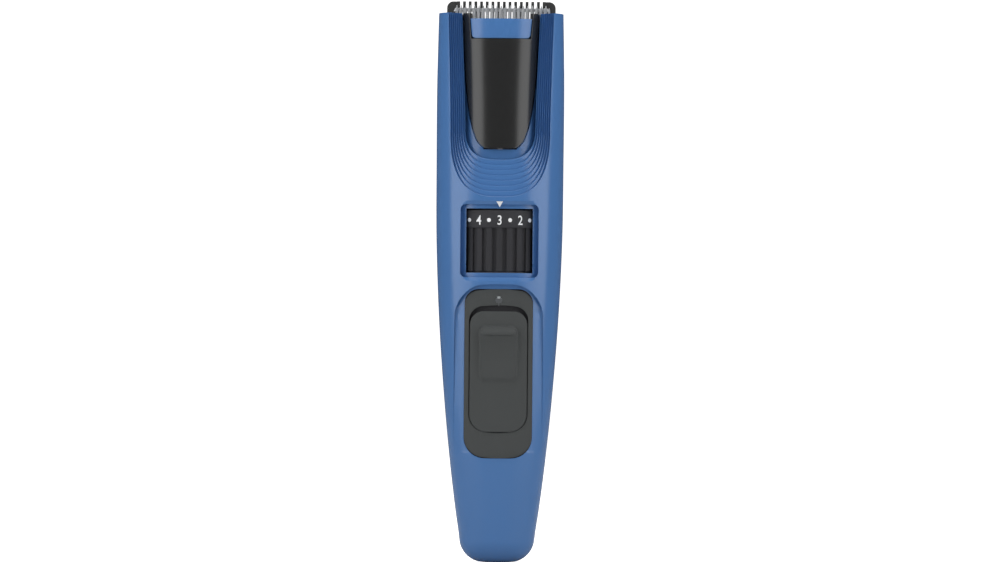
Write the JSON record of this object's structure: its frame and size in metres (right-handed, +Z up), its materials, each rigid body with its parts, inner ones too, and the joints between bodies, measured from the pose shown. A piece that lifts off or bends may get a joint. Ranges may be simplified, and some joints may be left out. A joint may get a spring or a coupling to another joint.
{
  "type": "beard trimmer",
  "caption": "Upright cordless beard trimmer with a stepped blue casing, numbered length dial, sliding power button, toothed cutting head and a clip-on guide comb driven by the dial.",
  "frame": {"origin": "middle of the flat base on which the trimmer stands", "axes": "+Z up to the blades, -Y towards the thumb side, +X to the right seen from the front"},
  "size_m": [0.0399, 0.0372, 0.1752],
  "materials": {
    "blue_shell": "satin blue ABS",
    "neck_gloss": "polished black",
    "soft_grey": "soft-touch grey",
    "black_plastic": "fine matt black",
    "comb_plastic": "dark moulded",
    "blade_steel": "ground steel",
    "spring_steel": "rolled steel",
    "screw_steel": "blackened",
    "frame_plastic": "glass-filled nylon",
    "motor_steel": "nickel plated",
    "magnet_ferrite": "sintered",
    "core_iron": "laminated",
    "copper": "enamelled wire",
    "brass_contact": "plated",
    "felt": "felt",
    "cell_wrap": "shrink sleeve",
    "board_green": "solder mask",
    "lead_red": "insulated wire",
    "lens_clear": "clear moulded",
    "lamp_white": "lamp body"
  },
  "bodies": {
    "handle": {"front_shell": "blue_shell", "rear_shell": "blue_shell", "shell_screws": "screw_steel", "neck_cover": "neck_gloss", "switch_panel": "soft_grey", "switch_housing": "spring_steel", "detent_spring": "spring_steel", "chassis": "frame_plastic", "motor_can": "motor_steel", "motor_end_cap": "black_plastic", "motor_terminals": "brass_contact", "motor_bushes": "brass_contact", "motor_magnets": "magnet_ferrite", "motor_band": "spring_steel", "shaft_seal": "felt", "motor_leads": "lead_red", "battery_cell": "cell_wrap", "battery_tabs": "brass_contact", "circuit_board": "board_green", "board_components": "black_plastic", "indicator_led": "lamp_white", "light_pipe": "lens_clear", "socket_housing": "black_plastic", "socket_contacts": "brass_contact", "socket_leads": "lead_red"},
    "dial": {"length_dial": "black_plastic"},
    "carriage": {"comb_carriage": "frame_plastic"},
    "comb": {"guide_comb": "comb_plastic"},
    "cutting_unit": {"cutter_frame": "blue_shell", "guard_blade": "blade_steel", "blade_spring": "spring_steel", "blade_screws": "screw_steel"},
    "cutter": {"moving_blade": "blade_steel", "drive_bridge": "frame_plastic"},
    "rotor": {"motor_shaft": "spring_steel", "rotor_core": "core_iron", "rotor_windings": "copper", "commutator": "copper", "eccentric_cap": "black_plastic"},
    "power_button": {"slide_button": "soft_grey", "slider_foot": "black_plastic", "switch_knob": "black_plastic"}
  },
  "joints": [
    {"name": "dial_turn", "type": "hinge", "parent": "handle", "child": "dial", "pos_m": [0, 0, 0.1], "axis": [0, 0, 1], "range_deg": [-56.25, 157.5]},
    {"name": "comb_travel", "type": "slide", "parent": "handle", "child": "carriage", "axis": [0, 0, 1], "range_m": [-0.00251, 0.00701]},
    {"name": "comb_release", "type": "slide", "parent": "carriage", "child": "comb", "axis": [0, 0, 1], "range_m": [0, 0.04]},
    {"name": "power_slide", "type": "slide", "parent": "handle", "child": "power_button", "axis": [0, 0, 1], "range_m": [0, 0.0016]},
    {"name": "rotor_turn", "type": "hinge", "parent": "handle", "child": "rotor", "pos_m": [0, -0.0015, 0.14], "axis": [0, 0, 1], "range_deg": [-0.2, 180.2]},
    {"name": "unit_release", "type": "slide", "parent": "handle", "child": "cutting_unit", "axis": [0, 0, 1], "range_m": [0, 0.022]},
    {"name": "blade_stroke", "type": "slide", "parent": "cutting_unit", "child": "cutter", "axis": [1, 0, 0], "range_m": [-0.002, 0]}
  ],
  "couplings": [
    {"joint": "comb_travel", "follows": "dial_turn", "m_per_rad": 0.0025465},
    {"joint": "rotor_turn", "follows": "blade_stroke", "rad_per_m": -1570.8}
  ]
}
